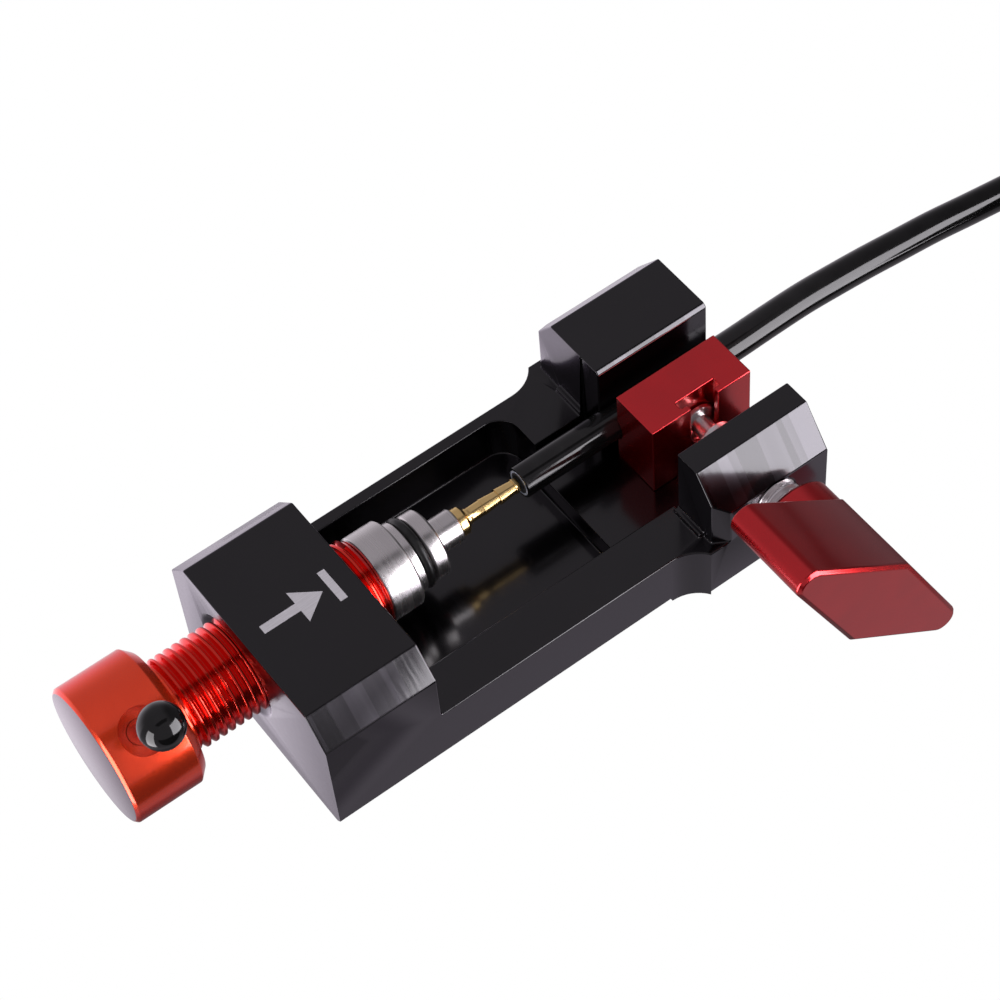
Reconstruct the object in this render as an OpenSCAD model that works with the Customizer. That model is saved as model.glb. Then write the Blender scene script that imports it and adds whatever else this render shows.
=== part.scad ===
// Screw press that pushes a barbed insert into a hydraulic brake hose.
// Origin: centre of the flat underside. +X runs along the hose, away from the
// knob; +Y is the fixed-jaw side; +Z is up.

/* [Body] */
// Length of the machined block
body_len = 93.2; // [92:0.2:96]
// Width over the rails
rail_w = 41.6; // [41:0.2:44]
// Width over the vise end
vise_w = 47.4; // [46.6:0.2:52]
// Height of the head and of the two vise blocks
block_h = 26.2; // [26:0.2:30]
// Height of the rails
rail_h = 11.4; // [9:0.2:12]
// Length of the threaded head
head_len = 20.1; // [18:0.1:21]
// Length of the vise blocks
vise_len = 21.9; // [21.5:0.1:23]
// Thickness of the pocket's floor
floor_t = 2.6; // [2:0.1:4]
// Height of the vise's floor
vise_floor = 7; // [5:0.1:7]

/* [Drive screw] */
// Outer diameter of the drive thread
thread_d = 16; // [15:0.5:16]
// Pitch of the drive thread
thread_pitch = 1.5; // [1.25:0.25:1.5]
// Length of the drive thread
thread_len = 36; // [34:0.1:38]
// Diameter of the knob
knob_d = 23.8; // [22:0.2:25]
// Length of the knob
knob_len = 13.1; // [12:0.1:14]
// Gap between the knob and the head
knob_gap = 12.7; // [12.7:0.1:16]

/* [Tommy bar] */
// Diameter of the sliding bar
bar_d = 4; // [3:0.5:4]
// Diameter of each end ball
ball_d = 7.3; // [6.5:0.1:7.4]
// How far the upper ball's centre stands from the screw's axis
ball_out = 27; // [20:0.5:32]
// Lean of the bar from +Y towards +Z
bar_angle = 123.8; // [0:0.1:180]

/* [Hose] */
// Outer diameter of the hose
hose_d = 5.5; // [5:0.1:5.5]
// Diameter of the hose's bore
hose_bore = 2.94; // [2.94:0.02:3]
// Mean diameter of the stored coil
coil_d = 60; // [56:1:66]

/* [Clamp] */
// Outer diameter of the clamp thread
clamp_thread_d = 8; // [7:0.5:8]
// Pitch of the clamp thread
clamp_pitch = 1.25; // [1:0.25:1.25]
// Length of the lever along its axis
lever_len = 15.8; // [12:0.2:20]

/* [Hidden] */
$fn = 72;
eps = 0.01;
fit = 0.05;          // radial running clearance
cut = 60;            // longer than any cut has to be

// stations along the block
x_front = -body_len / 2;
x_head = x_front + head_len;
x_rear = body_len / 2;
x_vise = x_rear - vise_len;
x_step = 13.6;       // where the pocket's floor steps up to the vise's
x_corner = 14.7;     // the pocket's far rear wall
flare_end = x_vise - 1.4;

// walls of the pocket and of the vise's channel
pocket_near = -12.65;
pocket_far = 18.7;
corner_r = 4;
deck_far = 10.4;
ear_face = -13.7;
jaw_face = 6.2;

// top chamfers, as [across, down]
head_chamfer = [4.45, 4.8];
vise_chamfer = [5.3, 7];
bottom_chamfer = 0.9;

// the screw, the insert and the hose share this line
axis_y = 4.6;
axis_z = 13.9;

// the drive screw and what it carries
x_knob = x_front - knob_gap - knob_len;
x_collar = x_knob + knob_len;
collar_len = 0.9;
x_thread = x_collar + collar_len;
x_screw_end = x_thread + thread_len;
stem_d = 8;
stem_len = 9;
ring_x = x_screw_end - 4;
thrust_ball_d = 4;
cup_d = 15.2;
cup_len = 5.9;
x_cup = x_screw_end + 0.1;
x_adaptor = x_cup + cup_len;
shank_len = 3.8;
lip_len = 1.6;
groove_len = 1.9;
flange_len = 2.8;
nose_len = 4.9;
x_nose = x_adaptor + lip_len + groove_len + flange_len;
x_barb = x_nose + nose_len;
barb_seat = 0.6;
barb_collar = 1.8;
tooth_len = 3.1;
pilot_d = 1.1;
barb_len = 12.4;         // what stands out of the adaptor
hose_gap = 0.05;
x_hose = x_barb + barb_len + hose_gap;

// the sliding bar: the lower ball sits in its counterbore at rest
seat_out = 8.3;
ball_in = 12.1;

// the hose's layers
braid_d = 3.8;
jacket_bore = 4.6;

// the hose clamp
clamp_x = 36.1;
clamp_z = 15.1;
jaw_len = 19.7;
jaw_near = -6.35;
jaw_far = 3;
jaw_low = vise_floor + 0.1;
jaw_top = 22.6;
slot_lip = 1.05;
slot_deep = 1.5;
disc_d = 6.8;
neck_d = 3.4;
shoulder_y = -9;
boss_y = -27.3;
boss_len = 5.7;
boss_d = 14;
lever_y = boss_y - boss_len;
tip = [14.15, -18.7];   // centre of the lever's rounded tip, [x, z] from its axis
tip_r = 2.6;
elbow = [5.5, 5.4];     // the lever's blunt corner
lever_edge = 0.6;
grub_d = 3;

// the free hose, from the vise to the coil
turn_gap = 0.1;         // between neighbouring turns of the coil
strand_r = (hose_d + turn_gap) / sqrt(2);   // from the middle of the bundle to each turn
bundle_r = strand_r + hose_d / 2;
coil_x = 143;
coil_y = 5.5 - coil_d / 2 - strand_r * cos(45);
hose_route = [[46.6, 4.6, 13.9], [52, 4.7, 13.8], [58, 5, 13.5], [66, 5.4, 12.9], [73, 5.5, 12.2],
              [80, 5.6, 11.3], [87, 5.6, 10.3], [95, 5.7, 9], [103, 5.7, 7.4], [111, 5.7, 5.9],
              [118, 5.6, 4.8], [125, 5.5, 4.2], [131, 5.5, 3.95], [137, 5.5, 3.9],
              [143, 5.5, 3.9]];

// children drawn along +Z are laid along the screw's line, starting at x
module on_axis(x) {
  translate([x, axis_y, axis_z]) rotate([0, 90, 0]) children();
}

// children drawn along +Z are laid along the clamp screw, towards -Y, starting at y
module on_clamp(y) {
  translate([clamp_x, y, clamp_z]) rotate([90, 0, 0]) children();
}

// children drawn along +Z are laid along the tommy bar
module on_bar() {
  translate([x_knob + knob_len / 2, axis_y, axis_z]) rotate([bar_angle - 90, 0, 0]) children();
}

// a stepped round profile: points are [station, radius], revolved about +Z
module turned(points) {
  rotate_extrude() polygon([for (p = points) [p[1], p[0]]]);
}

// the ridges of a thread as [station, radius] points, from z = 0 up
function ridges(length, pitch, major, depth) =
  let (turns = floor(length / pitch), flat = pitch / 8)
  [for (i = [0 : turns - 1]) each
    [[i * pitch, major - depth], [(i + 0.5) * pitch - flat, major],
     [(i + 0.5) * pitch + flat, major], [(i + 1) * pitch - flat, major - depth]]];

// cross-section of a block, as [y, z], with its top corners cut back
function block_section(width, chamfer) =
  [[-width / 2, 0], [width / 2, 0], [width / 2, block_h - chamfer[1]],
   [width / 2 - chamfer[0], block_h], [-width / 2 + chamfer[0], block_h],
   [-width / 2, block_h - chamfer[1]]];

// a [y, z] section swept along +X
module along_x(x, length) {
  translate([x, 0, 0]) rotate([90, 0, 90]) linear_extrude(length) children();
}

// one side's edge of the plan, with the hollow flare out to the vise's width
flare_rise = (vise_w - rail_w) / 2;
flare_run = 5.5;
flare_r = (flare_run * flare_run + flare_rise * flare_rise) / (2 * flare_rise);
flare_sweep = asin(flare_run / flare_r);
function flare(side) =
  [for (i = [0 : 8]) let (a = flare_sweep * i / 8)
    [flare_end - flare_run + flare_r * sin(a), side * (rail_w / 2 + flare_r * (1 - cos(a)))]];

function reversed(list) = [for (i = [len(list) - 1 : -1 : 0]) list[i]];

module plan() {
  polygon(concat([[x_front, -rail_w / 2]], flare(-1),
                 [[x_rear, -vise_w / 2], [x_rear, vise_w / 2]],
                 reversed(flare(1)), [[x_front, rail_w / 2]]));
}

// plan of the vise blocks, whose front outer corners are cut back
vise_facet = [2.6, 1.6];
module vise_plan() {
  w = vise_w / 2;
  polygon([[x_vise, -w + vise_facet[1]], [x_vise + vise_facet[0], -w], [x_rear, -w],
           [x_rear, w], [x_vise + vise_facet[0], w], [x_vise, w - vise_facet[1]]]);
}

// the milled hollow between the head and the vise
module pocket() {
  translate([0, 0, floor_t]) linear_extrude(cut) difference() {
    translate([x_head, pocket_near]) square([x_corner - x_head, pocket_far - pocket_near]);
    translate([x_step, pocket_near]) square([x_corner - x_step + eps, deck_far - pocket_near - 1]);
    translate([x_corner, pocket_far]) corner(corner_r);
  }
  translate([x_step - eps, pocket_near, vise_floor])
    cube([x_vise - x_step + 2 * eps, deck_far - pocket_near, cut]);
}

// what a round corner leaves standing, with the corner at the origin
module corner(r) {
  difference() {
    translate([-r, -r]) square(r + 1);
    translate([-r, -r]) circle(r);
  }
}

// the way through the vise for the hose and the moving jaw
module channel() {
  translate([x_vise - eps, ear_face, vise_floor])
    cube([vise_len + 1, jaw_face - ear_face, cut]);
}

// cuts an edge that runs along +X; at = [y, z] of its corner, out = the signs that point outwards
module edge_cut(x, length, at, out, size) {
  over = 1;
  along_x(x, length) polygon([at + [-out[0] * (size + over), out[1] * over],
                              at + [out[0] * over, -out[1] * (size + over)],
                              at + [out[0] * over, out[1] * over]]);
}

module body() {
  jaw_edge = 0.65;
  foot = 0.9;
  foot_w = 6.5;
  mouth = 1.25;          // how far the threaded hole opens at the front
  mouth_len = 1.2;
  color([0.07, 0.07, 0.075]) difference() {
    union() {
      linear_extrude(rail_h) plan();
      along_x(x_front, head_len) polygon(block_section(rail_w, head_chamfer));
      intersection() {
        along_x(x_vise, vise_len) polygon(block_section(vise_w, vise_chamfer));
        linear_extrude(block_h + 1) vise_plan();
      }
      for (y = [ear_face - foot_w, deck_far])
        translate([x_vise - foot, y, rail_h - eps]) cube([foot + eps, foot_w, foot]);
    }
    pocket();
    channel();
    on_axis(x_front - 1) cylinder(h = head_len + 2, d = thread_d + 2 * fit);
    on_axis(x_front - eps) cylinder(h = mouth_len, r1 = thread_d / 2 + mouth, r2 = thread_d / 2);
    on_axis(x_vise - 1) cylinder(h = vise_len + 2, d = hose_d + 2 * fit);
    on_clamp(ear_face + 1) cylinder(h = vise_w / 2 + ear_face + 3, d = clamp_thread_d + 2 * fit);
    edge_cut(x_vise - 1, vise_len + 2, [jaw_face, block_h], [-1, 1], jaw_edge);
    for (side = [-1, 1]) {
      edge_cut(x_front - 1, flare_end - flare_run - x_front + 1, [side * rail_w / 2, 0], [side, -1],
               bottom_chamfer);
      edge_cut(flare_end, x_rear - flare_end + 1, [side * vise_w / 2, 0], [side, -1], bottom_chamfer);
    }
  }
}

// knob and threaded shank, turned in one piece
module drive_screw() {
  rim = [0.3, 0.6];
  shoulder = 1.5;
  groove_w = 1.3;
  bore_len = x_screw_end - ring_x + stem_len;
  color([0.8, 0.16, 0.07]) difference() {
    union() {
      on_axis(x_knob) turned([[0, 0], [0, knob_d / 2 - rim[1]], [rim[0], knob_d / 2],
        [knob_len - shoulder, knob_d / 2], [knob_len, knob_d / 2 - shoulder], [knob_len, 0]]);
      on_axis(x_collar - eps) cylinder(h = collar_len + 2 * eps, d = thread_d - 0.3);
      on_axis(x_thread) turned(concat([[0, 0]], ridges(thread_len, thread_pitch, thread_d / 2, 0.9),
        [[thread_len, thread_d / 2 - 0.9], [thread_len, 0]]));
    }
    on_axis(x_screw_end - stem_len - thrust_ball_d - fit)
      cylinder(h = cut, d = stem_d + 2 * fit);
    on_axis(ring_x - groove_w / 2) cylinder(h = groove_w, d = stem_d + 1.7);
    on_bar() {
      cylinder(h = cut, d = bar_d + 2 * fit, center = true);
      for (side = [0, 180]) rotate([side, 0, 0]) translate([0, 0, seat_out])
        cylinder(h = knob_d, d = ball_d + 0.4);
    }
  }
}

module tommy_bar() {
  grip = 1;
  color([0.75, 0.75, 0.77]) on_bar() translate([0, 0, -ball_in - grip])
    cylinder(h = ball_in + ball_out + 2 * grip, d = bar_d);
}

// one end ball, with the blind hole that the bar is pressed into
module end_ball(out, inward) {
  grip = 1;
  color([0.03, 0.03, 0.035]) on_bar() translate([0, 0, out]) difference() {
    sphere(d = ball_d);
    rotate([inward, 0, 0]) translate([0, 0, -grip]) cylinder(h = ball_d, d = bar_d);
  }
}

module tommy_ball_upper() { end_ball(ball_out, 180); }
module tommy_ball_lower() { end_ball(-ball_in, 0); }

module thrust_ball() {
  color("silver") on_axis(x_screw_end - stem_len - thrust_ball_d / 2) sphere(d = thrust_ball_d);
}

// push cup: its stem turns freely in the screw's end, its socket takes the adaptor
module swivel_cup() {
  groove_w = 1.1;
  edge = 0.35;
  color([0.72, 0.71, 0.7]) difference() {
    union() {
      on_axis(x_screw_end - stem_len) cylinder(h = stem_len + 0.2, d = stem_d);
      on_axis(x_cup) turned([[0, 0], [0, cup_d / 2 - edge], [edge, cup_d / 2],
        [cup_len - edge, cup_d / 2], [cup_len, cup_d / 2 - edge], [cup_len, 0]]);
    }
    on_axis(ring_x - groove_w / 2) difference() {
      cylinder(h = groove_w, d = stem_d + 1);
      translate([0, 0, -1]) cylinder(h = groove_w + 2, d = stem_d - 1.4);
    }
    on_axis(x_adaptor - shank_len - 0.3) cylinder(h = shank_len + 1, d = 10 + 2 * fit);
  }
}

// open wire ring that keeps the stem in the screw
module retaining_ring() {
  wire = 0.9;
  color([0.55, 0.55, 0.57]) on_axis(ring_x - wire / 2) difference() {
    cylinder(h = wire, d = stem_d + 1.4);
    translate([0, 0, -1]) cylinder(h = wire + 2, d = stem_d - 1.2);
    translate([0, -1, -1]) cube([stem_d, 2, wire + 2]);
  }
}

module press_adaptor() {
  shank_d = 10;
  lip_d = 12.4;
  flange_d = 11.7;
  nose_d = 5.8;
  edge = 0.3;
  z_groove = shank_len + lip_len;
  z_flange = z_groove + groove_len;
  z_nose = z_flange + flange_len;
  z_end = z_nose + nose_len;
  color([0.74, 0.73, 0.72]) difference() {
    on_axis(x_adaptor - shank_len) turned([[0, 0], [0, shank_d / 2 - edge], [edge, shank_d / 2],
      [shank_len, shank_d / 2], [shank_len, lip_d / 2], [z_groove, lip_d / 2],
      [z_groove, 4.6], [z_flange, 4.6], [z_flange, flange_d / 2 - edge],
      [z_flange + edge, flange_d / 2], [z_nose - edge, flange_d / 2],
      [z_nose, flange_d / 2 - edge], [z_nose, nose_d / 2], [z_end - edge, nose_d / 2],
      [z_end, nose_d / 2 - edge], [z_end, 0]]);
    on_axis(x_barb - barb_seat) cylinder(h = 1, r = 2.4 + fit);
    on_axis(x_nose) cylinder(h = cut, d = pilot_d);
  }
}

module adaptor_o_ring() {
  cord_d = 1.7;
  color([0.05, 0.05, 0.05]) on_axis(x_adaptor + lip_len + groove_len / 2)
    rotate_extrude() translate([4.6 + cord_d / 2, 0]) circle(d = cord_d, $fn = 32);
}

// pin that is pressed in the adaptor and centres the insert
module pilot_pin() {
  pin_out = 6;
  color("silver") on_axis(x_nose) cylinder(h = nose_len + pin_out, d = pilot_d);
}

// brass insert with three saw teeth
module barb() {
  shaft = 1.3;
  crest = 1.4;
  root = 1.2;
  z_collar = barb_seat + barb_collar;
  z_teeth = z_collar + 3.2;
  color([0.83, 0.64, 0.27]) on_axis(x_barb - barb_seat) difference() {
    turned(concat([[0, 0], [0, 2.4], [z_collar - 0.6, 2.4], [z_collar, 1.9], [z_collar, crest],
                   [z_collar + 0.5, crest], [z_collar + 0.9, shaft], [z_teeth, shaft]],
      [for (i = [0 : 1]) each [[z_teeth + i * tooth_len, crest],
                               [z_teeth + (i + 1) * tooth_len, root]]],
      [[z_teeth + 2 * tooth_len, crest - 0.05], [z_teeth + 2.3 * tooth_len, root],
       [z_teeth + 2.3 * tooth_len, 0]]));
    translate([0, 0, -1]) cylinder(h = cut, d = pilot_d + 2 * fit);
  }
}

// a straight tube on the screw's line, up to the back of the vise
module hose_layer(x, outer, inner) {
  on_axis(x) difference() {
    cylinder(h = x_rear - x, d = outer);
    translate([0, 0, -1]) cylinder(h = cut, d = inner);
  }
}

module hose_jacket_end() { color([0.06, 0.06, 0.07]) hose_layer(x_hose, hose_d, jacket_bore); }
module hose_braid() { color([0.72, 0.74, 0.78]) hose_layer(x_hose + 0.05, jacket_bore, braid_d); }
module hose_liner() { color([0.2, 0.2, 0.22]) hose_layer(x_hose, braid_d, hose_bore); }

// one ring of a swept tube, square to the route at point i
function ring_at(route, i, r, sides) =
  let (before = route[max(i - 1, 0)], after = route[min(i + 1, len(route) - 1)],
       along = (after - before) / norm(after - before),
       across = cross([0, 0, 1], along), side = across / norm(across), up = cross(along, side))
  [for (k = [0 : sides - 1]) route[i] + r * (cos(360 * k / sides) * side + sin(360 * k / sides) * up)];

module swept_tube(route, r, sides) {
  rings = len(route);
  points = [for (i = [0 : rings - 1]) each ring_at(route, i, r, sides)];
  walls = [for (i = [0 : rings - 2], k = [0 : sides - 1])
    let (a = i * sides + k, b = i * sides + (k + 1) % sides)
    [a, a + sides, b + sides, b]];
  first = [for (k = [0 : sides - 1]) k];
  last = [for (k = [sides - 1 : -1 : 0]) (rings - 1) * sides + k];
  polyhedron(points, concat([first], walls, [last]), convexity = 4);
}

module hose() { color([0.06, 0.06, 0.07]) swept_tube(hose_route, hose_d / 2, 12); }

// outer shape of the stored coil: a bundle of four turns that twist round each other
module hose_coil() {
  color([0.06, 0.06, 0.07]) translate([coil_x, coil_y, bundle_r]) rotate_extrude()
    translate([coil_d / 2, 0]) circle(bundle_r);
}

module clamp_jaw() {
  slot_w = disc_d + 1;
  narrow_w = neck_d + 1.9;
  color([0.6, 0.07, 0.09]) difference() {
    translate([x_vise + 1, jaw_near, jaw_low]) cube([jaw_len, jaw_far - jaw_near, jaw_top - jaw_low]);
    on_axis(x_vise) cylinder(h = vise_len + 2, d = hose_d + 2 * fit);
    on_clamp(jaw_near + slot_lip + slot_deep) {
      cylinder(h = slot_deep, d = slot_w);
      translate([-slot_w / 2, 0, 0]) cube([slot_w, cut, slot_deep]);
    }
    on_clamp(jaw_near + slot_lip + eps) {
      cylinder(h = slot_lip + 1, d = narrow_w);
      translate([-narrow_w / 2, 0, 0]) cube([narrow_w, cut, slot_lip + 1]);
    }
  }
}

module clamp_screw() {
  disc_t = 0.9;
  y_disc = jaw_near + slot_lip + slot_deep - 0.2;
  neck_len = y_disc - disc_t - shoulder_y;
  cone = 0.7;
  thread = 18.3;
  shank = 12;
  r = clamp_thread_d / 2;
  color([0.6, 0.6, 0.62]) {
    on_clamp(y_disc) turned([[0, 0], [0, disc_d / 2], [disc_t, disc_d / 2], [disc_t, neck_d / 2],
      [disc_t + neck_len - cone, neck_d / 2], [disc_t + neck_len, r - 0.7],
      [disc_t + neck_len, 0]]);
    on_clamp(shoulder_y) turned(concat([[0, 0]], ridges(thread, clamp_pitch, r, 0.7),
      [[thread, r - 0.7], [thread, r], [thread + shank, r], [thread + shank, 0]]));
  }
}

// the tangent points of the lever's outline, from an elbow round a tip
function angle_of(v) = atan2(v[1], v[0]);
function tip_arc(centre, from, to) =
  let (d1 = from - centre, d2 = to - centre,
       a1 = angle_of(d1) - acos(tip_r / norm(d1)),
       a2 = angle_of(d2) + acos(tip_r / norm(d2)),
       sweep = (a2 - a1 - 360) % 360)
  [for (i = [0 : 10]) let (a = a1 + sweep * i / 10) centre + tip_r * [cos(a), sin(a)]];

module lever_outline() {
  polygon(concat([elbow], tip_arc(tip, elbow, -elbow), [-elbow], tip_arc(-tip, -elbow, elbow)));
}

// the outline is drawn in [x, z] and swept towards -Y; its outer end is chamfered
module clamp_lever() {
  color([0.55, 0.06, 0.09]) difference() {
    union() {
      on_clamp(lever_y + eps) {
        linear_extrude(lever_len - lever_edge) lever_outline();
        hull() {
          translate([0, 0, lever_len - lever_edge - eps]) linear_extrude(eps) lever_outline();
          translate([0, 0, lever_len - eps]) linear_extrude(eps) offset(delta = -lever_edge)
            lever_outline();
        }
      }
      on_clamp(boss_y) turned([[0, 0], [0, boss_d / 2 - lever_edge], [lever_edge, boss_d / 2],
        [boss_len + 1, boss_d / 2], [boss_len + 1, 0]]);
    }
    on_clamp(boss_y + 1) cylinder(h = 14, d = clamp_thread_d);
    grub() cylinder(h = 20, d = grub_d);
  }
}

// children drawn along +Z point from the clamp screw out of the lever's under face
module grub() {
  grub_y = -36;
  translate([clamp_x, grub_y, clamp_z]) rotate([0, 180 + 40.4, 0]) children();
}

module lever_grub_screw() {
  color([0.2, 0.2, 0.22]) grub() translate([0, 0, clamp_thread_d / 2]) difference() {
    cylinder(h = 2.4, d = grub_d);
    translate([0, 0, 1.2]) cylinder(h = 2, d = 1.6, $fn = 6);
  }
}

body();
drive_screw();
tommy_bar();
tommy_ball_upper();
tommy_ball_lower();
thrust_ball();
swivel_cup();
retaining_ring();
press_adaptor();
adaptor_o_ring();
pilot_pin();
barb();
hose_jacket_end();
hose_braid();
hose_liner();
hose();
hose_coil();
clamp_jaw();
clamp_screw();
clamp_lever();
lever_grub_screw();
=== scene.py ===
import math

import bmesh
import bpy
from mathutils import Matrix, Vector


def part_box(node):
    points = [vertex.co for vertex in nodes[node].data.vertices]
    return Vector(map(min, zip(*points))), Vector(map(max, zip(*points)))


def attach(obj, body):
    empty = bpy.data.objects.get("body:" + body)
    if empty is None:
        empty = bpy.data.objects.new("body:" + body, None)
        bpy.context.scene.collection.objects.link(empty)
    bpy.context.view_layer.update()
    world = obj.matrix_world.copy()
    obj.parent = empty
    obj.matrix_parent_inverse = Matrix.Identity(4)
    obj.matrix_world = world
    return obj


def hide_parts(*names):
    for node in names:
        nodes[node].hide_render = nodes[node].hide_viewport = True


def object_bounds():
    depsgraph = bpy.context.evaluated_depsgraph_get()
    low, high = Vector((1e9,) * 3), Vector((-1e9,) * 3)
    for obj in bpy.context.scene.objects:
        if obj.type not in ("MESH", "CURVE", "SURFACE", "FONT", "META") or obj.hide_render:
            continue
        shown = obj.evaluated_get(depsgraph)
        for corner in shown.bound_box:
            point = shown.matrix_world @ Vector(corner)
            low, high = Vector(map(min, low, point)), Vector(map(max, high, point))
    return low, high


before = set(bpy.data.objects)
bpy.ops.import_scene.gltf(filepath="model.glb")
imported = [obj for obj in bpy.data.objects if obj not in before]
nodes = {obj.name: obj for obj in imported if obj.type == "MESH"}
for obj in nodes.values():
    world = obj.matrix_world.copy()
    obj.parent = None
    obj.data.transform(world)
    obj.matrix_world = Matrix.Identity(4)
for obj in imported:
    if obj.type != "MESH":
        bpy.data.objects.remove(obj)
cad_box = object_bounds()
MM = 0.001
TURN = 2 * math.pi

# ---------------------------------------------------------------- places, read from the frame
block_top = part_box("body")[1].z / MM
screw_low, screw_high = [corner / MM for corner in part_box("drive_screw")]
cup_low, cup_high = [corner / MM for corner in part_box("swivel_cup")]
adaptor_low, adaptor_high = [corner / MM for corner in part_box("press_adaptor")]
ring_low, ring_high = [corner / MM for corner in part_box("adaptor_o_ring")]
barb_low, barb_high = [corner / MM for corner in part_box("barb")]
jacket_low, jacket_high = [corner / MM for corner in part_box("hose_jacket_end")]
clamp_low, clamp_high = [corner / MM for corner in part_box("clamp_screw")]
upper_low, upper_high = [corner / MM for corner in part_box("tommy_ball_upper")]
lower_low, lower_high = [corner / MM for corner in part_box("tommy_ball_lower")]

axis_y = (cup_low.y + cup_high.y) / 2      # the line of the screw, the insert and the hose
axis_z = (cup_low.z + cup_high.z) / 2
clamp_x = (clamp_low.x + clamp_high.x) / 2
clamp_z = (clamp_low.z + clamp_high.z) / 2
HOSE_R = (jacket_high.z - jacket_low.z) / 2


# ---------------------------------------------------------------- camera
def make_camera():
    """Looks down on the near front corner of the block, with a long lens."""
    data = bpy.data.cameras.new("camera")
    data.sensor_width = 36
    data.lens = 105.68
    camera = bpy.data.objects.new("camera", data)
    bpy.context.scene.collection.objects.link(camera)
    right = Vector((0.80081, -0.59589, -0.06015))
    up = Vector((0.51808, 0.63884, 0.56875))
    back = Vector((-0.30049, -0.48662, 0.82031))
    place = Vector((-135.8, -220.9, 392.8)) * MM
    turned_to = Matrix((right, up, back)).transposed()
    camera.matrix_world = Matrix.Translation(place) @ turned_to.to_4x4()
    bpy.context.scene.camera = camera


make_camera()

# ---------------------------------------------------------------- free hose and its coil
HOSE_ROUTE = [(46.6, 4.6, 13.9), (52, 4.7, 13.8), (58, 5, 13.5), (66, 5.4, 12.9), (73, 5.5, 12.2),
              (80, 5.6, 11.3), (87, 5.6, 10.3), (95, 5.7, 9), (103, 5.7, 7.4), (111, 5.7, 5.9),
              (118, 5.6, 4.8), (125, 5.5, 4.2), (131, 5.5, 3.95), (137, 5.5, 3.9), (143, 5.5, 3.9)]
COIL_R = 30
COIL_TURNS = 3.8
COIL_STEPS = 18                            # points in each turn


def coil_points():
    """Turns that twist round each other, a quarter of a turn for each turn of the coil."""
    low, high = [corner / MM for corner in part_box("hose_coil")]
    centre = (low + high) / 2
    strand_r = (high.z - low.z) / 2 - HOSE_R
    points = []
    for i in range(1, int(COIL_TURNS * COIL_STEPS) + 1):
        gone = i / COIL_STEPS
        round_coil = TURN / 4 - TURN * gone
        round_bundle = -TURN / 8 - TURN / 4 * gone
        reach = COIL_R + strand_r * math.cos(round_bundle)
        points.append(centre + Vector((reach * math.cos(round_coil), reach * math.sin(round_coil),
                                       strand_r * math.sin(round_bundle))))
    return points


def smooth_path(knots, steps):
    """A Catmull-Rom curve through the knots."""
    made = []
    padded = [knots[0] * 2 - knots[1], *knots, knots[-1] * 2 - knots[-2]]
    for a, b, c, d in zip(padded, padded[1:], padded[2:], padded[3:]):
        for i in range(steps):
            t = i / steps
            made.append((b * 2 + (c - a) * t + (a * 2 - b * 5 + c * 4 - d) * t ** 2
                         + (b * 3 - a - c * 3 + d) * t ** 3) / 2)
    return made + [knots[-1]]


def tube(points, radius, sides):
    """A closed round tube along points, whose rings don't twist."""
    mesh = bmesh.new()
    across = (points[1] - points[0]).cross((0, 0, 1)).normalized()
    rings = []
    for i, point in enumerate(points):
        along = (points[min(i + 1, len(points) - 1)] - points[max(i - 1, 0)]).normalized()
        across = (across - across.project(along)).normalized()
        other = along.cross(across)
        rings.append([mesh.verts.new(point + (across * math.cos(TURN * k / sides)
                                              + other * math.sin(TURN * k / sides)) * radius)
                      for k in range(sides)])
    for ring, after in zip(rings, rings[1:]):
        for k in range(sides):
            mesh.faces.new((ring[k], ring[(k + 1) % sides], after[(k + 1) % sides], after[k]))
    mesh.faces.new(reversed(rings[0]))
    mesh.faces.new(rings[-1])
    return mesh


def make_free_hose():
    knots = [Vector(p) for p in HOSE_ROUTE] + coil_points()
    path = [point * MM for point in smooth_path(knots, 6)]
    mesh = tube(path, HOSE_R * MM, 32)
    data = bpy.data.meshes.new("free_hose")
    mesh.to_mesh(data)
    mesh.free()
    data.shade_smooth()
    data.set_sharp_from_angle(angle=math.radians(30))
    hose = bpy.data.objects.new("free_hose", data)
    bpy.context.scene.collection.objects.link(hose)
    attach(hose, "block")
    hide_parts("hose", "hose_coil")
    return hose


free_hose = make_free_hose()


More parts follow.
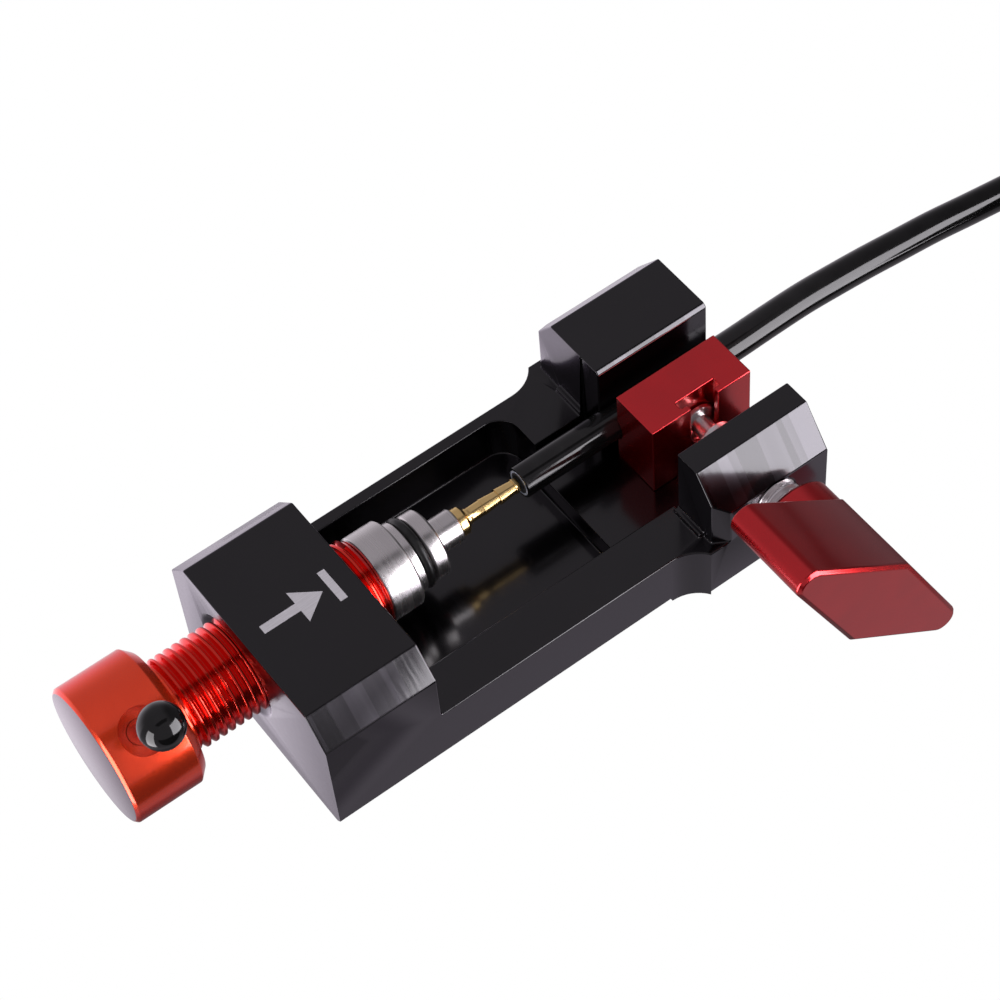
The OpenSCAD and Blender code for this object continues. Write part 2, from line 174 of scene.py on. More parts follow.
# ---------------------------------------------------------------- node materials
class Surface:
    """A Principled material, with short calls for the nodes that every finish here uses."""

    def __init__(self, name, colour, metallic, roughness):
        self.material = bpy.data.materials.new(name)
        self.material.use_nodes = True
        self.nodes = self.material.node_tree.nodes
        self.links = self.material.node_tree.links
        self.shader = self.nodes["Principled BSDF"]
        self.constant("Base Color", (*colour, 1))
        self.constant("Metallic", metallic)
        self.constant("Roughness", roughness)
        self.place = self.nodes.new("ShaderNodeTexCoord").outputs["Object"]
        self.normal = None

    def constant(self, socket, value):
        self.shader.inputs[socket].default_value = value

    def stretched(self, scale):
        """Object coordinates in metres, multiplied by scale along each axis."""
        mapping = self.nodes.new("ShaderNodeMapping")
        mapping.inputs["Scale"].default_value = scale
        self.links.new(self.place, mapping.inputs["Vector"])
        return mapping.outputs["Vector"]

    def noise(self, scale, detail=4, distortion=0):
        made = self.nodes.new("ShaderNodeTexNoise")
        made.inputs["Scale"].default_value = 1
        made.inputs["Detail"].default_value = detail
        made.inputs["Distortion"].default_value = distortion
        self.links.new(self.stretched(scale), made.inputs["Vector"])
        return made.outputs["Fac"]

    def bands(self, scale, distortion, detail=2):
        """Parallel ridges along X, as many per metre as scale says."""
        made = self.nodes.new("ShaderNodeTexWave")
        made.bands_direction = "X"
        made.inputs["Scale"].default_value = 1
        made.inputs["Distortion"].default_value = distortion
        made.inputs["Detail"].default_value = detail
        self.links.new(self.stretched(scale), made.inputs["Vector"])
        return made.outputs["Fac"]

    def spread(self, value, low, high, start=0.3, end=0.7):
        """value runs from start to end, and the result from low to high."""
        made = self.nodes.new("ShaderNodeMapRange")
        made.inputs["From Min"].default_value = start
        made.inputs["From Max"].default_value = end
        made.inputs["To Min"].default_value = low
        made.inputs["To Max"].default_value = high
        self.links.new(value, made.inputs["Value"])
        return made.outputs["Result"]

    def colours(self, value, stops):
        """A colour ramp over value; stops are (position, colour)."""
        ramp = self.nodes.new("ShaderNodeValToRGB")
        while len(ramp.color_ramp.elements) < len(stops):
            ramp.color_ramp.elements.new(0.5)
        for element, (position, colour) in zip(ramp.color_ramp.elements, stops):
            element.position = position
            element.color = (*colour, 1)
        self.links.new(value, ramp.inputs["Fac"])
        self.links.new(ramp.outputs["Color"], self.shader.inputs["Base Color"])

    def rough(self, value, low, high):
        self.links.new(self.spread(value, low, high), self.shader.inputs["Roughness"])

    def relief(self, value, depth, strength=1.0):
        """Raises the surface by value, depth in millimetres; calls add up."""
        bump = self.nodes.new("ShaderNodeBump")
        bump.inputs["Distance"].default_value = depth * MM
        bump.inputs["Strength"].default_value = strength
        self.links.new(value, bump.inputs["Height"])
        if self.normal:
            self.links.new(self.normal, bump.inputs["Normal"])
        self.normal = bump.outputs["Normal"]
        self.links.new(self.normal, self.shader.inputs["Normal"])
        self.links.new(self.normal, self.shader.inputs["Coat Normal"])


def tinted(colour, gain):
    return tuple(min(channel * gain, 1) for channel in colour)


def anodised(name, colour, metallic, roughness, coat_roughness, coat_ior, edge_tint=(1, 1, 1)):
    """Dyed aluminium: coloured metal under a clear, hard layer of oxide, with faint clouds."""
    finish = Surface(name, colour, metallic, roughness)
    finish.constant("Specular Tint", (*edge_tint, 1))
    finish.constant("Coat Weight", 1)
    finish.constant("Coat IOR", coat_ior)
    finish.constant("Coat Roughness", coat_roughness)
    clouds = finish.noise((140, 140, 140), 3)
    finish.colours(clouds, [(0.3, tinted(colour, 0.93)), (0.7, tinted(colour, 1.07))])
    finish.rough(finish.noise((600, 600, 600), 4), roughness - 0.01, roughness + 0.01)
    return finish


BLACK = (0.009, 0.0084, 0.0098)
OXIDE_IOR = 1.5
DULL_EDGE = (0.85, 0.78, 0.92)


def black_anodised():
    finish = anodised("black_anodised", BLACK, 1, 0.3, 0.14, OXIDE_IOR, DULL_EDGE)
    finish.relief(finish.noise((70, 2200, 70), 2), 0.0006)
    return finish.material


def milled_black():
    """The chamfers, where the side of the cutter left bands and chatter across its path."""
    finish = anodised("black_anodised_milled", BLACK, 1, 0.3, 0.15, OXIDE_IOR, DULL_EDGE)
    passes = finish.noise((190, 4, 4), 0)
    finish.colours(passes, [(0.4, BLACK), (0.41, tinted(BLACK, 2.2)), (0.53, tinted(BLACK, 1.8)),
                            (0.54, tinted(BLACK, 3.2))])
    finish.relief(finish.noise((300, 6, 6), 0), 0.03)
    finish.relief(finish.noise((2600, 30, 30), 1), 0.004)
    finish.relief(finish.bands((260, 70, 120), 7, 3), 0.0022)
    return finish.material


def orange_anodised():
    finish = anodised("orange_anodised", (1, 0.068, 0.018), 0.75, 0.25, 0.12, 1.4, (1, 0.2, 0.1))
    finish.relief(finish.noise((6000, 60, 60), 2), 0.0005)
    return finish.material


def polished_orange():
    """The knob's front face, turned to a mirror before it was dyed."""
    finish = anodised("orange_anodised_polished", (0.075, 0.04, 0.045), 1, 0.2, 0.1, 1.45,
                      (0.35, 0.25, 0.35))
    finish.relief(finish.noise((60, 60, 60), 1), 0.004)
    return finish.material


def thread_anodised():
    finish = anodised("orange_anodised_thread", (0.88, 0.03, 0.01), 1, 0.2, 0.1, 1.4, (0.95, 0.14, 0.08))
    finish.relief(finish.noise((900, 60, 60), 2), 0.0004)
    return finish.material


def red_anodised():
    finish = anodised("red_anodised", (0.64, 0.005, 0.01), 0.93, 0.25, 0.17, 1.5, (0.75, 0.06, 0.08))
    finish.relief(finish.noise((70, 900, 900), 1), 0.0003)
    return finish.material


def steel(name, colour, roughness, lines, depth):
    """Turned steel: fine lines round the axis; lines are the counts per metre along each axis."""
    finish = Surface(name, colour, 1, roughness)
    finish.colours(finish.noise((250, 60, 60), 3), [(0.3, tinted(colour, 0.92)), (0.7, colour)])
    finish.rough(finish.noise((700, 25, 25), 2), roughness - 0.03, roughness + 0.03)
    finish.relief(finish.noise(lines, 2), depth)
    return finish.material


def brass():
    colour = (0.92, 0.66, 0.28)
    finish = Surface("brass", colour, 1, 0.24)
    finish.colours(finish.noise((300, 90, 90), 3), [(0.3, tinted(colour, 0.9)), (0.7, colour)])
    finish.rough(finish.noise((800, 40, 40), 2), 0.2, 0.24)
    finish.relief(finish.noise((6000, 60, 60), 2), 0.00005)
    return finish.material


def rubber():
    finish = Surface("black_rubber", (0.012, 0.012, 0.013), 0, 0.4)
    finish.constant("Specular IOR Level", 0.35)
    finish.colours(finish.noise((700, 700, 700), 3), [(0.3, (0.005,) * 3), (0.7, (0.012,) * 3)])
    finish.rough(finish.noise((1500, 1500, 1500), 3), 0.28, 0.45)
    finish.relief(finish.noise((4000, 4000, 4000), 3), 0.002)
    return finish.material


def gloss_black(name, roughness):
    finish = Surface(name, (0.007, 0.007, 0.009), 0, roughness)
    finish.constant("IOR", 1.45)
    finish.colours(finish.noise((300, 300, 300), 3), [(0.3, (0.003,) * 3), (0.7, (0.007,) * 3)])
    finish.rough(finish.noise((900, 900, 900), 4), roughness - 0.03, roughness + 0.05)
    finish.relief(finish.noise((350, 700, 700), 2), 0.004)
    return finish.material


def braid():
    """Woven aramid under the jacket, seen at the cut end; its pale blue-white is partly the braid's own
    tone and partly a painted highlight on the hose's cut edge.
    """
    finish = Surface("hose_braid", (0.6, 0.66, 0.76), 0, 0.6)
    # the light end of this ramp is partly painted highlight: it makes the bright ring at the hose's cut
    # end
    weave = finish.noise((3000, 3000, 3000), 2)
    finish.colours(weave, [(0.35, (0.34, 0.4, 0.5)), (0.65, (0.78, 0.84, 0.94))])
    finish.relief(weave, 0.05)
    return finish.material


def liner():
    finish = Surface("hose_liner", (0.05, 0.05, 0.055), 0, 0.35)
    finish.colours(finish.noise((900, 900, 900), 3), [(0.3, (0.03,) * 3), (0.7, (0.07,) * 3)])
    finish.relief(finish.noise((2500, 2500, 2500), 2), 0.003)
    return finish.material


def laser_mark():
    """Bare oxide where a laser took the dye off."""
    finish = Surface("laser_mark", (0.52, 0.51, 0.53), 0.2, 0.6)
    fine = finish.noise((300, 9000, 300), 2)
    finish.colours(fine, [(0.3, (0.46, 0.45, 0.47)), (0.7, (0.58, 0.57, 0.6))])
    finish.relief(fine, 0.003)
    return finish.material


BLACK_METAL = black_anodised()
BLACK_MILLED = milled_black()
ORANGE_METAL = orange_anodised()
ORANGE_POLISHED = polished_orange()
THREAD_METAL = thread_anodised()
RED_METAL = red_anodised()
TURNED_STEEL = steel("turned_steel", (0.68, 0.66, 0.65), 0.27, (5000, 40, 40), 0.0002)
BRIGHT_STEEL = steel("bright_steel", (0.8, 0.78, 0.78), 0.18, (40, 2500, 40), 0.0001)
DARK_STEEL = steel("dark_steel", (0.24, 0.23, 0.23), 0.28, (40, 3000, 40), 0.0002)
SPINDLE_STEEL = steel("spindle_steel", (0.85, 0.82, 0.82), 0.3, (40, 3000, 40), 0.0001)
BRASS = brass()
RUBBER = rubber()
BALL_BLACK = gloss_black("black_ball", 0.08)
JACKET_BLACK = gloss_black("hose_jacket", 0.1)
BRAID_WITH_PAINTED_HIGHLIGHT = braid()
LINER = liner()
LASER_MARK = laser_mark()


# ---------------------------------------------------------------- building pieces
def basis(x, y, z, at):
    """A place whose own axes lie along x, y and z, at a point in millimetres."""
    return Matrix.Translation(Vector(at) * MM) @ Matrix((x, y, z)).transposed().to_4x4()


def on_screw(x=0):
    """Along the screw's line: a piece's own Z is +X."""
    return basis((0, 1, 0), (0, 0, 1), (1, 0, 0), (x, axis_y, axis_z))


def on_clamp(y=0):
    """Along the clamp screw: a piece's own Z is -Y."""
    return basis((1, 0, 0), (0, 0, 1), (0, -1, 0), (clamp_x, y, clamp_z))


upper_ball = (upper_low + upper_high) / 2
bar_along = (upper_ball - Vector((upper_ball.x, axis_y, axis_z))).normalized()


def on_bar():
    """Along the tommy bar, from the screw's line towards the upper ball."""
    return basis((1, 0, 0), bar_along.cross((1, 0, 0)), bar_along, (upper_ball.x, axis_y, axis_z))


def finished(name, mesh, place, material, body, stands_for, sharp=30):
    """Turns a bmesh in millimetres into a piece that rides on a body."""
    bmesh.ops.remove_doubles(mesh, verts=mesh.verts, dist=1e-5)
    bmesh.ops.recalc_face_normals(mesh, faces=mesh.faces)
    data = bpy.data.meshes.new(name)
    mesh.to_mesh(data)
    mesh.free()
    data.transform(place @ Matrix.Scale(MM, 4))
    return settled(bpy.data.objects.new(name, data), material, body, stands_for, sharp)


def settled(piece, material, body, stands_for, sharp=30):
    if piece.name not in bpy.context.scene.collection.objects:
        bpy.context.scene.collection.objects.link(piece)
    piece.data.shade_smooth()
    piece.data.set_sharp_from_angle(angle=math.radians(sharp))
    piece.data.materials.clear()
    piece.data.materials.append(material)
    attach(piece, body)
    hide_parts(*stands_for)
    return piece


def soften(outline, radius, steps=3):
    """Rounds each corner of an outline of (station, radius) points."""
    made = [outline[0]]
    for before, corner, after in zip(outline, outline[1:], outline[2:]):
        back = Vector(before) - Vector(corner)
        ahead = Vector(after) - Vector(corner)
        reach = min(radius, back.length * 0.45, ahead.length * 0.45)
        start = Vector(corner) + back.normalized() * reach
        end = Vector(corner) + ahead.normalized() * reach
        for i in range(steps + 1):
            t = i / steps
            made.append(tuple(start * (1 - t) ** 2 + 2 * t * (1 - t) * Vector(corner) + end * t * t))
    return made + [outline[-1]]


def skinned(rows, sides, winding=()):
    """Joins rows of (station, radius), each one or sides long, into a round skin.
    winding is (first, last, step): those rows end on the row that is step further on."""
    mesh = bmesh.new()
    rings = []
    for row in rows:
        if len(row) == 1:
            rings.append([mesh.verts.new((0, 0, row[0][0]))])
            continue
        rings.append([mesh.verts.new((r * math.cos(TURN * i / sides), r * math.sin(TURN * i / sides), s))
                      for i, (s, r) in enumerate(row)])
    first, last, step = winding or (0, -1, 0)
    for k in range(len(rings) - 1):
        for i in range(sides):
            wraps = i == sides - 1 and first <= k < last
            here, above = rings[k], rings[k + 1]
            next_here = rings[min(k + step, last)] if wraps else here
            next_above = rings[min(k + 1 + step, last)] if wraps else above
            j = (i + 1) % sides
            corners = [here[i % len(here)], next_here[j % len(next_here)],
                       next_above[j % len(next_above)], above[i % len(above)]]
            corners = list(dict.fromkeys(corners))
            if len(corners) > 2:
                mesh.faces.new(corners)
    return mesh


def plain_rows(outline, sides):
    return [[point] if point[1] < 1e-6 else [point] * sides for point in outline]


def turned(outline, sides=128):
    """A solid of revolution from an outline that starts and ends on the axis."""
    return skinned(plain_rows(outline, sides), sides)


THREAD_FORM = [(0, 0), (0.03, 0.02), (0.32, 0.88), (0.35, 0.97), (0.39, 1), (0.61, 1),
               (0.65, 0.97), (0.68, 0.88), (0.97, 0.02)]


def thread_rows(start, end, pitch, major, depth, sides):
    """The rows of a right-hand V thread that runs in and out at both ends."""
    rows = []
    for lap in range(-1, int((end - start) / pitch) + 2):
        for along, share in THREAD_FORM:
            row = []
            for i in range(sides):
                station = min(max(start + pitch * (lap + along + i / sides), start), end)
                run = min(station - start, end - station)
                row.append((station, major - depth + min(depth * share, run)))
            rows.append(row)
    return rows


def threaded(before, after, start, end, pitch, major, depth, sides=96):
    """A screw: an outline up to the thread, the thread, and an outline after it."""
    head = plain_rows(before, sides)
    thread = thread_rows(start, end, pitch, major, depth, sides)
    tail = plain_rows(after, sides)
    first = len(head)
    return skinned(head + thread + tail, sides,
                   (first, first + len(thread) - 1, len(THREAD_FORM)))


def cut_by(piece, outline, place):
    """Takes a solid of revolution out of the piece for good."""
    mesh = turned(outline, 64)
    bmesh.ops.recalc_face_normals(mesh, faces=mesh.faces)
    data = bpy.data.meshes.new("cutter")
    mesh.to_mesh(data)
    mesh.free()
    data.transform(place @ Matrix.Scale(MM, 4))
    cutter = bpy.data.objects.new("cutter", data)
    bpy.context.scene.collection.objects.link(cutter)
    tool = piece.modifiers.new("cut", "BOOLEAN")
    tool.operation = "DIFFERENCE"
    tool.solver = "EXACT"
    tool.object = cutter
    graph = bpy.context.evaluated_depsgraph_get()
    done = bpy.data.meshes.new_from_object(piece.evaluated_get(graph))
    piece.modifiers.clear()
    piece.data = done
    bpy.data.objects.remove(cutter)


def edge_broken(piece, width, above, steps=3, angle=28):
    """Rounds the piece's edges that stand higher than above."""
    mesh = bmesh.new()
    mesh.from_mesh(piece.data)
    weight = mesh.edges.layers.float.new("bevel_weight_edge")
    for edge in mesh.edges:
        lowest = min(vert.co.z for vert in edge.verts)
        if lowest > above * MM and edge.calc_face_angle(0) > math.radians(angle):
            edge[weight] = 1
    mesh.to_mesh(piece.data)
    mesh.free()
    bevel = piece.modifiers.new("edges", "BEVEL")
    bevel.width = width * MM
    bevel.segments = steps
    bevel.use_clamp_overlap = False
    bevel.limit_method = "WEIGHT"
    bevel.harden_normals = True
    bevel.miter_outer = "MITER_ARC"


def copied(name, node, material, body, width, above=-100, sharp=30):
    """A CAD node's own shape with its edges broken."""
    mesh = bmesh.new()
    mesh.from_mesh(nodes[node].data)
    bmesh.ops.remove_doubles(mesh, verts=mesh.verts, dist=1e-6)
    bmesh.ops.dissolve_limit(mesh, angle_limit=math.radians(0.4), verts=mesh.verts, edges=mesh.edges)
    data = bpy.data.meshes.new(name)
    mesh.to_mesh(data)
    mesh.free()
    piece = settled(bpy.data.objects.new(name, data), material, body, [node], sharp)
    edge_broken(piece, width, above)
    return piece


# ---------------------------------------------------------------- block, jaw and lever
def is_chamfer(normal):
    return abs(normal.y) > 0.3 and normal.z > 0.3 and abs(normal.x) < 0.2


def make_block():
    block = copied("block_body", "body", BLACK_METAL, "block", 0.28, 1.5)
    block.data.materials.append(BLACK_MILLED)
    for face in block.data.polygons:
        if is_chamfer(face.normal):
            face.material_index = 1


def make_jaw_and_lever():
    copied("jaw_block", "clamp_jaw", RED_METAL, "jaw", 0.22)
    copied("lever", "clamp_lever", RED_METAL, "lever", 0.22, sharp=20)


def make_mark():
    """A plain arrow that shows which way the screw presses, with the stop it presses against."""
    shaft, head, half_head, half_line, bar_gap, bar = 6.5, 4.5, 3.2, 0.8, 1.1, 1.3
    sunk, thickness = 0.02, 0.035
    centre = Vector((-36.4, 0, block_top))
    x = -(shaft + head + bar_gap + bar) / 2
    arrow = [(x, -half_line), (x + shaft, -half_line), (x + shaft, -half_head), (x + shaft + head, 0),
             (x + shaft, half_head), (x + shaft, half_line), (x, half_line)]
    x += shaft + head + bar_gap
    stop = [(x, -half_head), (x + bar, -half_head), (x + bar, half_head), (x, half_head)]
    mesh = bmesh.new()
    for outline in (arrow, stop):
        face = mesh.faces.new([mesh.verts.new((px, py, -sunk)) for px, py in outline])
        raised = bmesh.ops.extrude_face_region(mesh, geom=[face])
        lifted = [v for v in raised["geom"] if isinstance(v, bmesh.types.BMVert)]
        bmesh.ops.translate(mesh, vec=(0, 0, thickness), verts=lifted)
    finished("press_arrow_mark", mesh, Matrix.Translation(centre * MM), LASER_MARK, "block",
             [])


make_block()
make_jaw_and_lever()
make_mark()

# ---------------------------------------------------------------- drive screw
KNOB_LEN = 13.1
COLLAR_LEN = 0.9
DRIVE_PITCH = 1.5
DRIVE_DEPTH = 0.8
STEM_BORE = (4.05, 13.05)                  # radius and depth of the hole for the swivel's stem
BAR_R = 2
BALL_SEAT = 8.3                            # from the screw's line to a ball's counterbore
knob_r = (screw_high.y - screw_low.y) / 2
ball_r = (upper_high.x - upper_low.x) / 2
knob_front = screw_low.x
knob_back = knob_front + KNOB_LEN
thread_start = knob_back + COLLAR_LEN
thread_end = screw_high.x
DRIVE_R = 8


def make_knob():
    """The head of the screw, up to the collar where the thread starts."""
    rim, shoulder = 0.55, 1.5
    outline = [(0, 0), (0, knob_r - rim), (rim, knob_r), (KNOB_LEN - shoulder, knob_r),
               (KNOB_LEN, knob_r - shoulder), (KNOB_LEN, DRIVE_R + 0.5), (KNOB_LEN - 0.35, DRIVE_R + 0.2),
               (KNOB_LEN - 0.35, DRIVE_R - 0.15), (KNOB_LEN + COLLAR_LEN, DRIVE_R - 0.15),
               (KNOB_LEN + COLLAR_LEN + 0.2, 7), (KNOB_LEN + COLLAR_LEN + 0.2, 0)]
    knob = finished("knob", turned(soften(outline, 0.16), 160), on_screw(knob_front), ORANGE_METAL,
                    "screw", ["drive_screw"])
    seat_r = ball_r + 0.2
    reach = knob_r + 3
    cut_by(knob, [(-reach, 0), (-reach, seat_r), (-BALL_SEAT, seat_r), (-BALL_SEAT, BAR_R + 0.05),
                  (BALL_SEAT, BAR_R + 0.05), (BALL_SEAT, seat_r), (reach, seat_r), (reach, 0)],
           on_bar())
    knob.data.shade_smooth()
    knob.data.set_sharp_from_angle(angle=math.radians(30))
    knob.data.materials.append(ORANGE_POLISHED)
    for face in knob.data.polygons:
        if face.normal.x < -0.99 and face.center.x < (knob_front + 0.05) * MM:
            face.material_index = 1


def make_drive_thread():
    bore_r, bore_deep = STEM_BORE
    root = DRIVE_R - DRIVE_DEPTH
    after = [(thread_end, root), (thread_end, bore_r), (thread_end - bore_deep, bore_r),
             (thread_end - bore_deep, 0)]
    mesh = threaded([(thread_start, 0)], after, thread_start, thread_end, DRIVE_PITCH, DRIVE_R,
                    DRIVE_DEPTH, 112)
    finished("drive_thread", mesh, on_screw(), THREAD_METAL, "screw",
             ["drive_screw"], 50)


def make_ball(name, node, middle, towards_bar):
    """A moulded ball, with the flat and the hole where the bar goes in."""
    grip = 1                                # the bar goes this far past the ball's centre
    reach = math.sqrt(ball_r ** 2 - (BAR_R + 0.6) ** 2)
    arc = [(ball_r * math.cos(a), ball_r * math.sin(a))
           for a in [math.pi * i / 64 for i in range(65)]]
    arc = [(s, r) for s, r in arc if s > -reach]
    outline = arc + [(-reach, BAR_R + 0.5), (-reach, BAR_R), (grip, BAR_R), (grip, 0)]
    outline[0] = (ball_r, 0)
    place = on_bar() @ Matrix.Translation((0, 0, middle * MM))
    if towards_bar > 0:
        place = place @ Matrix.Rotation(math.pi, 4, "X")
    finished(name, turned(outline, 96), place, BALL_BLACK, "handle", [node])


def make_tommy_bar():
    upper = (upper_ball - Vector((upper_ball.x, axis_y, axis_z))).length
    lower_ball = (lower_low + lower_high) / 2
    lower = (lower_ball - Vector((lower_ball.x, axis_y, axis_z))).length
    low, high = -lower - 0.9, upper + 0.9
    outline = soften([(low, 0), (low, BAR_R - 0.3), (low + 0.3, BAR_R), (high - 0.3, BAR_R),
                      (high, BAR_R - 0.3), (high, 0)], 0.1)
    finished("sliding_bar", turned(outline, 64), on_bar(), BRIGHT_STEEL, "handle",
             ["tommy_bar"])
    make_ball("ball_upper", "tommy_ball_upper", upper, 0)
    make_ball("ball_lower", "tommy_ball_lower", -lower, 1)


make_knob()
make_drive_thread()
make_tommy_bar()


# ---------------------------------------------------------------- press head
def make_cup():
    """The stem that turns in the screw, and the cup that takes the adaptor."""
    radius = (cup_high.y - cup_low.y) / 2
    cup_len, edge, ring_deep, half_groove = 5.9, 0.35, 4, 0.55
    front, back = cup_high.x - cup_len, cup_high.x
    stem_r, groove_r, socket_r, socket_deep = 4, 3.3, 5.05, 4.1
    ring_x = screw_high.x - ring_deep
    outline = [(cup_low.x, 0), (cup_low.x, stem_r - 0.3), (cup_low.x + 0.3, stem_r),
               (ring_x - half_groove, stem_r), (ring_x - half_groove, groove_r),
               (ring_x + half_groove, groove_r), (ring_x + half_groove, stem_r), (front, stem_r),
               (front, radius - edge), (front + edge, radius), (back - edge, radius),
               (back, radius - edge), (back, socket_r + 0.2), (back - 0.2, socket_r),
               (back - socket_deep, socket_r), (back - socket_deep, 0)]
    finished("press_cup", turned(soften(outline, 0.1)), on_screw(), TURNED_STEEL, "press_head",
             ["swivel_cup"])


def make_adaptor():
    """Shank, lip, groove for the O-ring, flange and nose, bored for the pilot pin."""
    lip_r, groove_r, flange_r, nose_r, shank_r = 6.2, 4.6, 5.85, 2.9, 5
    pin_r, seat_r, seat_deep = 0.55, 2.45, 0.6
    shank_len, lip_len, groove_len, flange_len = 3.8, 1.6, 1.9, 2.8
    lip = adaptor_low.x + shank_len
    groove = lip + lip_len
    flange = groove + groove_len
    nose = flange + flange_len
    end = adaptor_high.x
    outline = [(adaptor_low.x, 0), (adaptor_low.x, shank_r - 0.3), (adaptor_low.x + 0.3, shank_r),
               (lip, shank_r), (lip, lip_r - 0.1), (lip + 0.15, lip_r), (groove - 0.15, lip_r),
               (groove, lip_r - 0.15), (groove, groove_r), (flange, groove_r),
               (flange, flange_r - 0.3), (flange + 0.3, flange_r), (nose - 0.4, flange_r),
               (nose, flange_r - 0.4), (nose, nose_r), (end - 0.3, nose_r), (end, nose_r - 0.3),
               (end, seat_r), (end - seat_deep, seat_r), (end - seat_deep, pin_r), (nose, pin_r),
               (nose, 0)]
    finished("press_adaptor_turned", turned(soften(outline, 0.08)), on_screw(), TURNED_STEEL,
             "press_head", ["press_adaptor"])


def make_o_ring():
    """A moulded ring whose parting line stands a hair proud of its outside."""
    cord_r = (ring_high.x - ring_low.x) / 2
    centre_x = (ring_low.x + ring_high.x) / 2
    ring_r = (ring_high.y - ring_low.y) / 2 - cord_r
    flash = 0.03
    steps = 32
    outline = []
    for i in range(steps + 1):
        a = TURN * i / steps
        reach = cord_r - flash + (flash if i % steps == steps // 4 else 0)
        outline.append((centre_x + reach * math.cos(a), ring_r + reach * math.sin(a)))
    finished("o_ring", turned(outline, 128), on_screw(), RUBBER, "press_head",
             ["adaptor_o_ring"], 60)


def make_barb():
    """The brass insert: a collar that the adaptor holds, and two long saw teeth."""
    collar_r, crest, root, shaft, bore = 2.4, 1.4, 1.12, 1.3, 0.6
    tooth = 3.1
    start, end = barb_low.x, barb_high.x
    neck = start + 2.4
    teeth = neck + 3.2
    outline = [(start, bore), (start, collar_r - 0.15), (start + 0.15, collar_r),
               (neck - 0.55, collar_r), (neck, collar_r - 0.5), (neck, crest), (neck + 0.5, crest),
               (neck + 0.9, shaft), (teeth, shaft)]
    for i in range(2):
        outline += [(teeth + i * tooth, crest), (teeth + (i + 1) * tooth, root)]
    outline += [(teeth + 2 * tooth, crest - 0.05), (end, root), (end, bore)]
    outline = soften(outline, 0.05, 2)
    outline.append(outline[0])
    finished("barbed_insert", turned(outline, 96), on_screw(), BRASS, "press_head",
             ["barb"], 20)


make_cup()
make_adaptor()
make_o_ring()
make_barb()


# ---------------------------------------------------------------- hose end and clamp screw
def make_jacket_end():
    """The gripped end of the hose, cut square, with its jacket's edge slightly rounded."""
    inner = 2.3
    outline = [(jacket_low.x, inner), (jacket_low.x, HOSE_R), (jacket_high.x, HOSE_R),
               (jacket_high.x, inner)]
    outline = soften(outline, 0.22, 4)
    outline.append(outline[0])
    finished("jacket_end", turned(outline, 96), on_screw(), JACKET_BLACK, "block",
             ["hose_jacket_end"])


def make_clamp_screw():
    """A disc that the jaw holds, its neck, and an M8 thread that ends in the lever."""
    disc_r, disc_t, neck_r, collar_r = 3.4, 0.9, 1.7, 3.3
    pitch, depth, major, thread = 1.25, 0.72, 4, 18.3
    shoulder = 9
    disc = -clamp_high.y
    before = soften([(disc, 0), (disc, disc_r - 0.15), (disc + 0.15, disc_r),
                     (disc + disc_t, disc_r), (disc + disc_t, neck_r), (shoulder - 1.1, neck_r),
                     (shoulder - 0.7, collar_r - 0.5), (shoulder - 0.45, collar_r),
                     (shoulder, collar_r), (shoulder, 3.1)], 0.08)
    end = -clamp_low.y
    after = [(shoulder + thread, major), (end - 0.4, major), (end, major - 0.4), (end, 0)]
    mesh = threaded(before, after, shoulder, shoulder + thread, pitch, major, depth, 72)
    finished("clamp_spindle", mesh, on_clamp(), SPINDLE_STEEL, "lever",
             ["clamp_screw"])


make_jacket_end()
make_clamp_screw()

# the braid's pale colour is partly a painted highlight on the hose's cut end
for node, material in (("thrust_ball", BRIGHT_STEEL), ("retaining_ring", BRIGHT_STEEL),
                       ("pilot_pin", BRIGHT_STEEL), ("hose_braid", BRAID_WITH_PAINTED_HIGHLIGHT), ("hose_liner", LINER),
                       ("lever_grub_screw", DARK_STEEL)):
    for material_slot in nodes[node].material_slots:
        material_slot.material = material
free_hose.data.materials.append(JACKET_BLACK)


# ---------------------------------------------------------------- studio
def make_floor():
    """A plain pale floor that shows behind the object and adds nothing to the light on it."""
    size, gap = 6, 0.2                      # metres, and millimetres under the lowest point
    mesh = bmesh.new()
    bmesh.ops.create_grid(mesh, x_segments=1, y_segments=1, size=size)
    data = bpy.data.meshes.new("floor")
    mesh.to_mesh(data)
    mesh.free()
    floor = bpy.data.objects.new("floor", data)
    floor.location.z = cad_box[0].z - gap * MM
    bpy.context.scene.collection.objects.link(floor)
    material = bpy.data.materials.new("pale_floor")
    material.use_nodes = True
    shader = material.node_tree.nodes["Principled BSDF"]
    shader.inputs["Base Color"].default_value = (0, 0, 0, 1)
    shader.inputs["Specular IOR Level"].default_value = 0
    shader.inputs["Emission Color"].default_value = (1, 1, 1, 1)
    shader.inputs["Emission Strength"].default_value = 1
    data.materials.append(material)
    floor.visible_diffuse = False
    floor.visible_glossy = False
    floor.visible_shadow = False


def ramped(tree, value, start, end):
    """A smooth step from 0 to 1 as value goes from start to end."""
    made = tree.nodes.new("ShaderNodeMapRange")
    made.interpolation_type = "SMOOTHSTEP"
    made.inputs["From Min"].default_value = start
    made.inputs["From Max"].default_value = end
    tree.links.new(value, made.inputs["Value"])
    return made.outputs["Result"]


def product(tree, *values):
    total = values[0]
    for value in values[1:]:
        made = tree.nodes.new("ShaderNodeMath")
        made.operation = "MULTIPLY"
        tree.links.new(total, made.inputs[0])
        tree.links.new(value, made.inputs[1])
        total = made.outputs["Value"]
    return total


def scaled(tree, value, low, high):
    """Turns 0 to 1 into low to high."""
    made = tree.nodes.new("ShaderNodeMapRange")
    made.inputs["To Min"].default_value = low
    made.inputs["To Max"].default_value = high
    tree.links.new(value, made.inputs["Value"])
    return made.outputs["Result"]


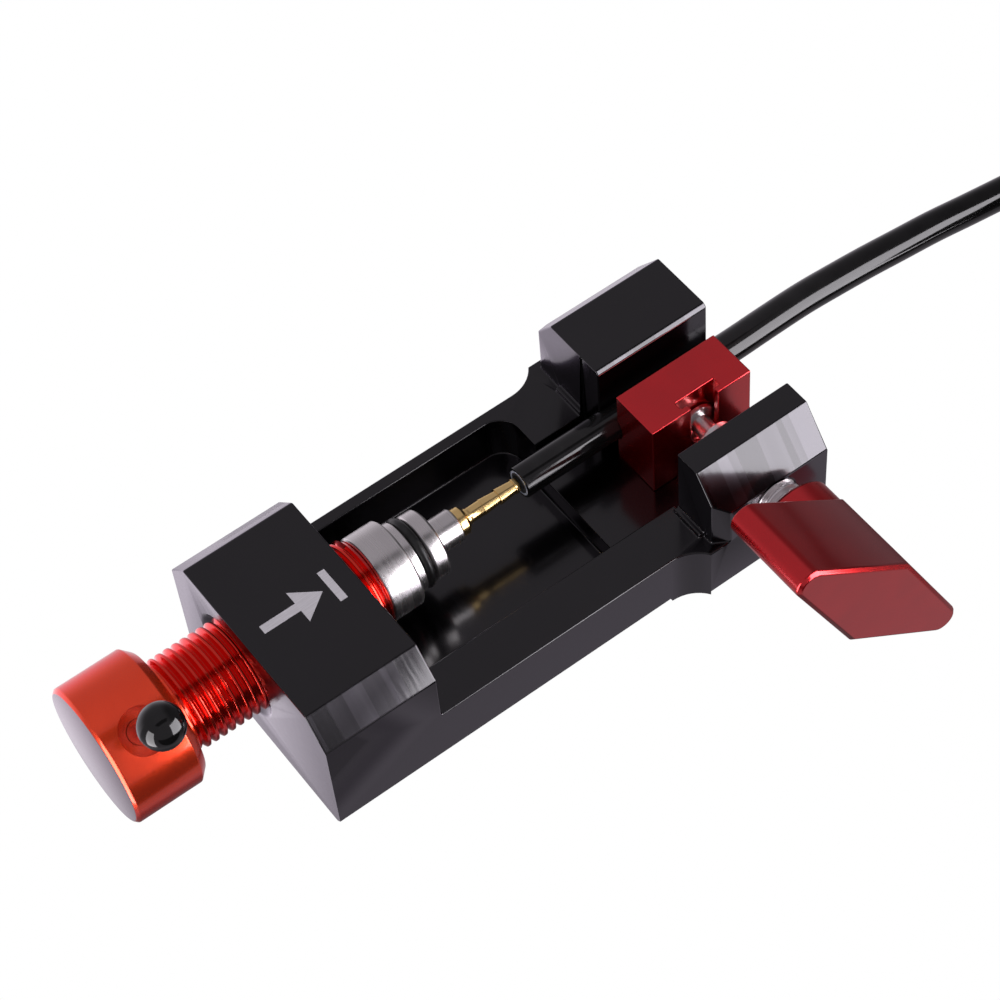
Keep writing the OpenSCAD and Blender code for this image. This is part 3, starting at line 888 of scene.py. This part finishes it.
def make_world():
    """White to the camera; to the metal, a dim room with a bright sweep behind and dark gaps in front."""
    dim, sweep_gain = 0.38, 0.77
    sweep_share, right_share, shadow = 0.42, 0.35, 0.3     # how much is left on the right and below
    gap_share = 0.12                                       # between the lights, and before the table
    world = bpy.data.worlds.new("studio")
    bpy.context.scene.world = world
    world.use_nodes = True
    tree = world.node_tree
    tree.nodes.clear()
    direction = tree.nodes.new("ShaderNodeTexCoord")
    parts = tree.nodes.new("ShaderNodeSeparateXYZ")
    tree.links.new(direction.outputs["Generated"], parts.inputs["Vector"])
    x, y, z = parts.outputs["X"], parts.outputs["Y"], parts.outputs["Z"]
    sweep = product(tree, ramped(tree, z, 0.45, -0.35), ramped(tree, y, 0.41, 0.57),
                    scaled(tree, ramped(tree, x, -0.05, 0.24), 1, sweep_share))
    ceiling_gap = product(tree, ramped(tree, z, 0.8, 0.87), ramped(tree, y, -0.12, -0.17),
                          ramped(tree, y, -0.45, -0.38))
    table_gap = product(tree, ramped(tree, y, -0.66, -0.7), ramped(tree, z, -0.08, -0.14))
    total = product(tree, scaled(tree, sweep, dim, dim + sweep_gain),
                    scaled(tree, ramped(tree, x, 0.4, 0.8), 1, right_share),
                    scaled(tree, ramped(tree, z, -0.89, -0.97), 1, shadow),
                    scaled(tree, ceiling_gap, 1, gap_share),
                    scaled(tree, table_gap, 1, gap_share))
    around = tree.nodes.new("ShaderNodeBackground")
    around.inputs["Color"].default_value = (1, 0.93, 1.02, 1)
    tree.links.new(total, around.inputs["Strength"])
    white = tree.nodes.new("ShaderNodeBackground")
    white.inputs["Color"].default_value = (1, 1, 1, 1)
    ray = tree.nodes.new("ShaderNodeLightPath")
    either = tree.nodes.new("ShaderNodeMixShader")
    tree.links.new(ray.outputs["Is Camera Ray"], either.inputs["Fac"])
    tree.links.new(around.outputs["Background"], either.inputs[1])
    tree.links.new(white.outputs["Background"], either.inputs[2])
    out = tree.nodes.new("ShaderNodeOutputWorld")
    tree.links.new(either.outputs["Shader"], out.inputs["Surface"])


def softbox(name, centre, across, size, distance, radiance, colour, reflected=True):
    """A rectangular light that faces the block from the direction of centre.

    The studio's boxes are what polished metal mirrors; the fill only lifts the dull surfaces."""
    out = Vector(centre).normalized()
    side = (Vector(across) - Vector(across).project(out)).normalized()
    data = bpy.data.lights.new(name, "AREA")
    data.shape = "RECTANGLE"
    data.size = size[0] * distance
    data.size_y = size[1] * distance
    data.energy = radiance * math.pi * data.size * data.size_y
    data.color = colour
    light = bpy.data.objects.new(name, data)
    turned_to = Matrix((side, out.cross(side), out)).transposed().to_4x4()
    light.matrix_world = Matrix.Translation(out * distance) @ turned_to
    light.visible_camera = False
    light.visible_glossy = reflected
    light.visible_diffuse = not reflected
    bpy.context.scene.collection.objects.link(light)


make_floor()
make_world()
softbox("softbox_front", (-0.97, -0.2, -0.17), (0.2, -1, 0), (0.5, 1.25), 0.5, 6, (1, 0.97, 1))
softbox("softbox_side", (0.64, -0.77, 0.21), (0.71, 0.62, -0.34), (0.99, 0.92), 0.51, 8, (0.98, 0.95, 1))
softbox("top_fill", (-0.1, -0.2, 1), (1, 0, 0), (1.2, 1.2), 0.9, 1.5, (1, 0.97, 1), False)
bpy.context.scene.view_settings.view_transform = "Standard"
